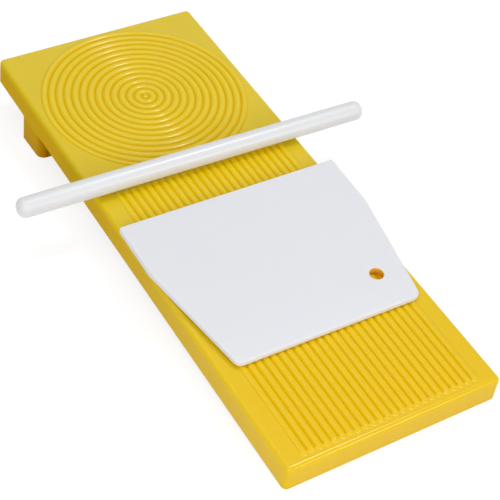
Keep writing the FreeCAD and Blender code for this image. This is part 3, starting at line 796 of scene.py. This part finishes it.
class Nodes:
    """The nodes of one material or world, all of them made by add."""

    def __init__(self, owner):
        owner.use_nodes = True
        self.tree = owner.node_tree
        self.tree.nodes.clear()

    def add(self, kind, settings, inputs, output=0):
        """A node with its settings, then its inputs, given by name or number as values or signals."""
        node = self.tree.nodes.new(kind)
        for name, value in settings.items():
            setattr(node, name, value)
        for name, value in inputs.items():
            if isinstance(value, Signal):
                self.tree.links.new(value.socket, node.inputs[name])
            else:
                node.inputs[name].default_value = value
        return Signal(self, node.outputs[output]) if node.outputs else None

    def mix(self, factor, first, second):
        """A colour between two colours."""
        return self.add("ShaderNodeMix", {"data_type": "RGBA"}, {0: factor, 6: first, 7: second}, 2)

    def spread(self, signal, start, end, low=0.0, high=1.0):
        """A signal's range from start to end, carried to the range from low to high."""
        inputs = {0: signal, 1: start, 2: end, 3: low, 4: high}
        return self.add("ShaderNodeMapRange", {"interpolation_type": "SMOOTHSTEP"}, inputs)

    def noise(self, place, scale, detail):
        settings = {"noise_dimensions": "3D"}
        return self.add("ShaderNodeTexNoise", settings, {"Vector": place, "Scale": scale, "Detail": detail})

    def stretched(self, place, factors):
        """Coordinates scaled by a factor along each axis."""
        return self.add("ShaderNodeVectorMath", {"operation": "MULTIPLY"}, {0: place, 1: factors})


def new_plastic(name):
    """A material with its nodes and the coordinates that its patterns follow."""
    material = bpy.data.materials.new(name)
    nodes = Nodes(material)
    return material, nodes, nodes.add("ShaderNodeTexCoord", {}, {}, "Object")


def opaque(linear):
    return (*linear, 1.0)


def shade(linear, factor):
    """A colour made lighter or darker by a factor."""
    return (*(min(part * factor, 1.0) for part in linear), 1.0)


def finish_plastic(nodes, base, roughness, bump, constants):
    """The plastic's shader, with the inputs that stay the same all over the surface as constants."""
    normal = nodes.add("ShaderNodeBump", {}, {"Strength": 1.0, "Distance": MM, "Height": bump})
    inputs = {"Base Color": base, "Roughness": roughness, "Normal": normal, **constants}
    shader = nodes.add("ShaderNodeBsdfPrincipled", {}, inputs)
    nodes.add("ShaderNodeOutputMaterial", {}, {"Surface": shader})


def board_plastic(finishes, sizes):
    """Moulded yellow plastic under a thin polished skin.

    The colour carries painted shade: deeper in the grooves, darker on the walls, more so towards the far
    end, and darker on the foot's front. The crests carry a painted highlight towards the far end, and the
    colour changes towards the far end, partly the plastic's tone and partly painted light. The skin is the
    coat: strong on flat faces and crests, weak in the grooves and on the far walls. The crests are also
    scuffed.
    """
    material, nodes, place = new_plastic("board_plastic")
    rise = nodes.add("ShaderNodeAttribute", {"attribute_name": "rise"}, {}, "Fac")
    groove = nodes.add("ShaderNodeAttribute", {"attribute_name": "groove"}, {}, "Fac")
    cloud = nodes.noise(place, scale=22.0, detail=2.0)
    mottle = nodes.noise(place, scale=260.0, detail=3.0)
    grain = nodes.noise(place, scale=1100.0, detail=2.0)

    # Masks, each from 0 to 1
    toward_far = nodes.add("ShaderNodeSeparateXYZ", {}, {0: place}, "Y")
    along = nodes.spread(toward_far, -190.0 * MM, -20.0 * MM)
    foot_front = nodes.spread(toward_far, -7.5 * MM, -3.5 * MM, 1.0, 0.3)
    low = nodes.spread(rise, -sizes.side_height - 1.0 * MM, -sizes.side_height, 1.0, 0.0)
    top = nodes.spread(rise, -2 * sizes.top_round, -0.5 * sizes.top_round)
    flat = nodes.spread(rise, -0.5 * sizes.top_round, -sizes.groove_depth)
    crest = nodes.spread(rise, 0.5 * sizes.crest_rise, sizes.crest_rise)
    scuffs = nodes.noise(nodes.stretched(place, (5.0, 0.6, 1.0)), scale=420.0, detail=4.0)
    scuffs = nodes.spread(scuffs, 0.5, 0.75) * crest

    # Colour: plain faces, then a painted highlight on the crests, painted shade on the walls, the foot and
    # in the grooves, and scuffs over them
    # From the near colour to the far one along the board: partly the plastic's tone, partly painted light.
    light = nodes.mix(along, shade(finishes.board, 1.04), shade(finishes.far_board_tone_and_light, 1.04))
    dark = nodes.mix(along, shade(finishes.board, 0.96), shade(finishes.far_board_tone_and_light, 0.96))
    base = nodes.mix(cloud * 0.7 + mottle * 0.3, dark, light)
    # Painted highlight: the crests are lighter towards the far end.
    base = nodes.mix(crest * along * 0.6, base, shade(finishes.far_board_tone_and_light, 1.12))
    # Painted shade on the walls, stronger towards the far end where less light reaches them.
    base = nodes.mix((1 - top) * (0.3 + along * 0.7), base, opaque(finishes.wall))
    # Painted shade on the foot, strongest on its front in the shade under the board.
    base = nodes.mix(low * foot_front, base, opaque(finishes.foot))
    # Painted shade in the grooves, by how far a point is down in them.
    base = nodes.mix(nodes.spread(groove, 0.1, 1.0), base, opaque(finishes.groove))
    base = nodes.mix(scuffs * 0.12, base, shade(finishes.board, 1.25))

    # Gloss and relief
    roughness = finishes.board_roughness + mottle * 0.1 - crest * 0.05 + groove * 0.08 + scuffs * 0.12
    wall_skin = 0.5 - along * 0.42
    top_skin = (0.65 + along * 0.3) * nodes.spread(groove, 0.0, 1.0, 1.0, 0.0)
    skin = wall_skin + (top_skin - wall_skin) * flat
    bump = grain * 0.006 + cloud * 0.12 + scuffs * 0.004
    finish_plastic(nodes, base, roughness, bump, {
        "Specular IOR Level": 0.0, "Coat Weight": skin,
        "Coat Roughness": finishes.board_polish, "Subsurface Weight": 0.12,
        "Subsurface Radius": (1.0, 0.62, 0.12), "Subsurface Scale": 1.2 * MM})
    return material


def rod_plastic(finishes):
    """Glossy white plastic with faint flow lines along the rod."""
    material, nodes, place = new_plastic("rod_plastic")
    cloud = nodes.noise(place, scale=30.0, detail=2.0)
    flow = nodes.noise(nodes.stretched(place, (0.08, 1.0, 1.0)), scale=700.0, detail=3.0)
    specks = nodes.noise(place, scale=900.0, detail=2.0)
    tone = cloud * 0.6 + flow * 0.4
    base = nodes.mix(tone, shade(finishes.rod, 0.96), shade(finishes.rod, 1.03))
    roughness = finishes.rod_roughness + flow * 0.1 + specks * 0.05
    finish_plastic(nodes, base, roughness, flow * 0.012 + specks * 0.004, {
        "IOR": 1.49, "Subsurface Weight": 0.15, "Subsurface Radius": (1.0, 0.95, 0.85),
        "Subsurface Scale": 1.5 * MM})
    return material


def scraper_plastic(finishes, hole, reach):
    """Satin white plastic with a fine cast grain and faint wiping marks.

    The inside of the hanging hole, whose middle and reach are given, is painted with the yellow light that
    the board under it reflects into it: a painted reflection.
    """
    material, nodes, place = new_plastic("scraper_plastic")
    cloud = nodes.noise(place, scale=24.0, detail=2.0)
    grain = nodes.noise(place, scale=1500.0, detail=2.0)
    wiping = nodes.noise(nodes.stretched(place, (0.5, 6.0, 6.0)), scale=130.0, detail=3.0)
    tone = cloud * 0.7 + wiping * 0.3
    base = nodes.mix(tone, shade(finishes.scraper, 0.97), shade(finishes.scraper, 1.02))
    # Painted reflection: the hole's inside takes the yellow light bounced up from the board.
    away = nodes.add("ShaderNodeVectorMath", {"operation": "DISTANCE"}, {0: place, 1: hole}, "Value")
    tint = nodes.spread(away, reach * 0.98, reach * 1.12, 1.0, 0.0)
    base = nodes.mix(tint, base, opaque(finishes.hole_bounce_light))
    roughness = finishes.scraper_roughness + cloud * 0.08 + nodes.spread(wiping, 0.5, 0.7, 0.0, 0.06)
    finish_plastic(nodes, base, roughness, grain * 0.008 + cloud * 0.1, {
        "IOR": 1.49, "Subsurface Weight": 0.12, "Subsurface Radius": (1.0, 0.95, 0.88),
        "Subsurface Scale": 1.5 * MM})
    return material


# Operators

class PASTA_OT_board(bpy.types.Operator):
    """Build the ribbed board in place of its plain solid"""

    bl_idname = "pasta_board.board"
    bl_label = "Board"

    def execute(self, context):
        size = context.scene.pasta_board
        place = place_matrix(size)
        material = board_plastic(context.scene.pasta_finishes, size)
        piece = build_piece("ribbed_board", board_patches(size), place, BOARD_SMOOTH, "board",
                            material)
        points = own_points(piece.data, place)
        mark_points(piece.data, "rise", points[:, 2])
        mark_points(piece.data, "groove", BoardShape(size).groove_share(points))
        soften_crests(piece.data, points[:, 2], size)
        return {"FINISHED"}


def own_points(mesh, place):
    """The mesh's points in the board's own axes."""
    points = np.empty(len(mesh.vertices) * 3)
    mesh.vertices.foreach_get("co", points)
    turn = np.array(place)[:3, :3]
    return (points.reshape(-1, 3) - np.array(place.translation)) @ turn


def mark_points(mesh, name, values):
    attribute = mesh.attributes.new(name, "FLOAT", "POINT")
    attribute.data.foreach_set("value", values)


def soften_crests(mesh, rise, size):
    """Clears the sharp edges over the top face, whose grooves are soft."""
    ends = np.empty(len(mesh.edges) * 2, dtype=np.int32)
    mesh.edges.foreach_get("vertices", ends)
    on_top = (rise[ends.reshape(-1, 2)] > -size.top_round).all(axis=1)
    sharp = np.empty(len(mesh.edges), dtype=bool)
    mesh.attributes["sharp_edge"].data.foreach_get("value", sharp)
    mesh.attributes["sharp_edge"].data.foreach_set("value", sharp & ~on_top)


class PASTA_OT_rod(bpy.types.Operator):
    """Build the rolling rod in place of its plain solid"""

    bl_idname = "pasta_board.rod"
    bl_label = "Rod"

    def execute(self, context):
        size = context.scene.pasta_rod
        place = lying_place(context.scene, size, size.diameter / 2)
        build_piece("rolling_rod", rod_patches(size), place, LOOSE_SMOOTH, "rod",
                    rod_plastic(context.scene.pasta_finishes))
        return {"FINISHED"}


class PASTA_OT_scraper(bpy.types.Operator):
    """Build the dough scraper in place of its plain solid"""

    bl_idname = "pasta_board.scraper"
    bl_label = "Scraper"

    def execute(self, context):
        size = context.scene.pasta_scraper
        place = lying_place(context.scene, size, 0)
        hole = place @ Vector((size.hole_across, size.hole_along, size.thickness / 2))
        reach = math.hypot(size.hole_diameter, size.thickness) / 2
        build_piece("dough_scraper", scraper_patches(size), place, LOOSE_SMOOTH, "scraper",
                    scraper_plastic(context.scene.pasta_finishes, hole, reach))
        return {"FINISHED"}


def lying_place(scene, size, up):
    """Place of a piece whose origin is this far up from where the loose pieces lie, over the crests."""
    board = scene.pasta_board
    height = board.crest_rise + scene.pasta_scraper.clearance + up
    spot = Matrix.Translation((size.shift, size.place, height))
    return place_matrix(board) @ spot @ Matrix.Rotation(size.turn, 4, "Z")


class PASTA_OT_stage(bpy.types.Operator):
    """Set up the floor, the soft lamps, the white surroundings and the camera"""

    bl_idname = "pasta_board.stage"
    bl_label = "Stage"

    def execute(self, context):
        settings = context.scene.pasta_stage
        context.scene.view_settings.view_transform = "Standard"
        add_floor(settings)
        light_world(context.scene)
        middle = Vector((-4.83, -101.27, 15.75)) * MM
        near_left = Vector((-43, -180, 10)) * MM
        rings = Vector((0, -12.6, 21)) * MM
        add_lamp("top_lamp", middle, azimuth=-19, height=80, distance=1.2, size=1.0, level=0.14)
        add_lamp("front_lamp", middle, azimuth=200, height=30, distance=1.0, size=0.6, level=0.19)
        add_lamp("near_lamp", middle, azimuth=154, height=18, distance=1.0, size=0.2, level=0.12)
        add_lamp("side_lamp", near_left, azimuth=240, height=18, distance=0.35, size=0.2, level=0.22)
        add_lamp("spark_lamp", rings, azimuth=87, height=67, distance=1.3, size=0.15, level=0.19)
        add_camera(context.scene, settings, middle)
        return {"FINISHED"}


def add_floor(settings):
    """A wide pale floor just under the board, which keeps a soft shadow and is clear from below."""
    side = 4.0
    down = -0.02 * MM
    points = np.array([(-side, -side, down), (-side, side, down), (side, side, down), (side, -side, down)])
    mesh = bpy.data.meshes.new("floor")
    mesh.from_pydata(points.tolist(), [], [(3, 2, 1, 0)])
    floor = add_object("floor", mesh)
    material = bpy.data.materials.new("floor")
    nodes = Nodes(material)
    seen = seen_rays(nodes)
    lit = nodes.add("ShaderNodeBsdfDiffuse", {}, {"Color": opaque(settings.floor)})
    pale = nodes.add("ShaderNodeBsdfDiffuse", {}, {"Color": (0.28, 0.28, 0.28, 1.0)})
    glow = nodes.add("ShaderNodeEmission", {}, {"Color": WHITE, "Strength": 0.8})
    bright = nodes.add("ShaderNodeAddShader", {}, {0: pale, 1: glow})
    upper = nodes.add("ShaderNodeMixShader", {}, {0: seen, 1: lit, 2: bright})
    below = nodes.add("ShaderNodeNewGeometry", {}, {}, "Backfacing")
    clear = nodes.add("ShaderNodeBsdfTransparent", {}, {})
    surface = nodes.add("ShaderNodeMixShader", {}, {0: below, 1: upper, 2: clear})
    nodes.add("ShaderNodeOutputMaterial", {}, {"Surface": surface})
    mesh.materials.append(material)


def seen_rays(nodes):
    """1 where the camera sees a surface, directly, mirrored or through glass."""
    camera, glossy, through = (nodes.add("ShaderNodeLightPath", {}, {}, f"Is {kind} Ray")
                               for kind in ("Camera", "Glossy", "Transmission"))
    return camera + glossy + through


def light_world(scene):
    """White surroundings that light the object with a softer, even level."""
    world = bpy.data.worlds.new("studio")
    scene.world = world
    nodes = Nodes(world)
    even = nodes.add("ShaderNodeBackground", {}, {"Color": WHITE, "Strength": 0.5})
    white = nodes.add("ShaderNodeBackground", {}, {"Color": WHITE, "Strength": 1.0})
    surface = nodes.add("ShaderNodeMixShader", {}, {0: seen_rays(nodes), 1: even, 2: white})
    nodes.add("ShaderNodeOutputWorld", {}, {"Surface": surface})


def heading(azimuth, height):
    """The direction at an azimuth from +Y towards +X and a height above level, in radians."""
    level = math.cos(height)
    return Vector((math.sin(azimuth) * level, math.cos(azimuth) * level, math.sin(height)))


def add_lamp(name, target, azimuth, height, distance, size, level):
    """A round soft lamp that lights a white surface facing it to the given level."""
    direction = heading(math.radians(azimuth), math.radians(height))
    lamp = bpy.data.lights.new(name, "AREA")
    lamp.shape = "DISK"
    lamp.size = size
    lamp.energy = level * (math.pi * distance) ** 2
    item = add_object(name, lamp)
    item.location = target + direction * distance
    item.rotation_euler = direction.to_track_quat("Z", "Y").to_euler()


def add_camera(scene, settings, target):
    """A camera that looks down at the target along its heading, with its right side rolled up."""
    look = heading(settings.azimuth, -settings.descent)
    data = bpy.data.cameras.new("camera")
    data.lens = settings.focal_length
    data.sensor_width = 36.0
    item = add_object("camera", data)
    item.location = target - look * settings.distance
    turn = look.to_track_quat("-Z", "Y").to_matrix() @ Matrix.Rotation(settings.roll, 3, "Z")
    item.rotation_euler = turn.to_euler()
    scene.camera = item


class PASTA_PT_panel(bpy.types.Panel):
    """Sizes, finishes and build buttons of the pasta board"""

    bl_idname = "PASTA_PT_panel"
    bl_label = "Pasta board"
    bl_space_type = "VIEW_3D"
    bl_region_type = "UI"
    bl_category = "Pasta board"

    def draw(self, context):
        for operator in OPERATORS:
            self.layout.operator(operator.bl_idname)
        for name, group in GROUPS.items():
            box = self.layout.box()
            box.label(text=group.__doc__)
            for item in group.__annotations__:
                box.prop(getattr(context.scene, name), item)


GROUPS = {
    "pasta_board": BoardSizes,
    "pasta_rod": RodSizes,
    "pasta_scraper": ScraperSizes,
    "pasta_finishes": Finishes,
    "pasta_stage": StageSettings,
}
OPERATORS = (PASTA_OT_board, PASTA_OT_rod, PASTA_OT_scraper, PASTA_OT_stage)


def register():
    for group in GROUPS.values():
        bpy.utils.register_class(group)
    for item in (*OPERATORS, PASTA_PT_panel):
        bpy.utils.register_class(item)
    for name, group in GROUPS.items():
        setattr(bpy.types.Scene, name, bpy.props.PointerProperty(type=group))


def unregister():
    for name in GROUPS:
        delattr(bpy.types.Scene, name)
    for item in (PASTA_PT_panel, *reversed(OPERATORS), *reversed(GROUPS.values())):
        bpy.utils.unregister_class(item)


def main():
    register()
    bpy.ops.pasta_board.board()
    bpy.ops.pasta_board.rod()
    bpy.ops.pasta_board.scraper()
    bpy.ops.pasta_board.stage()


if __name__ == "__main__":
    main()
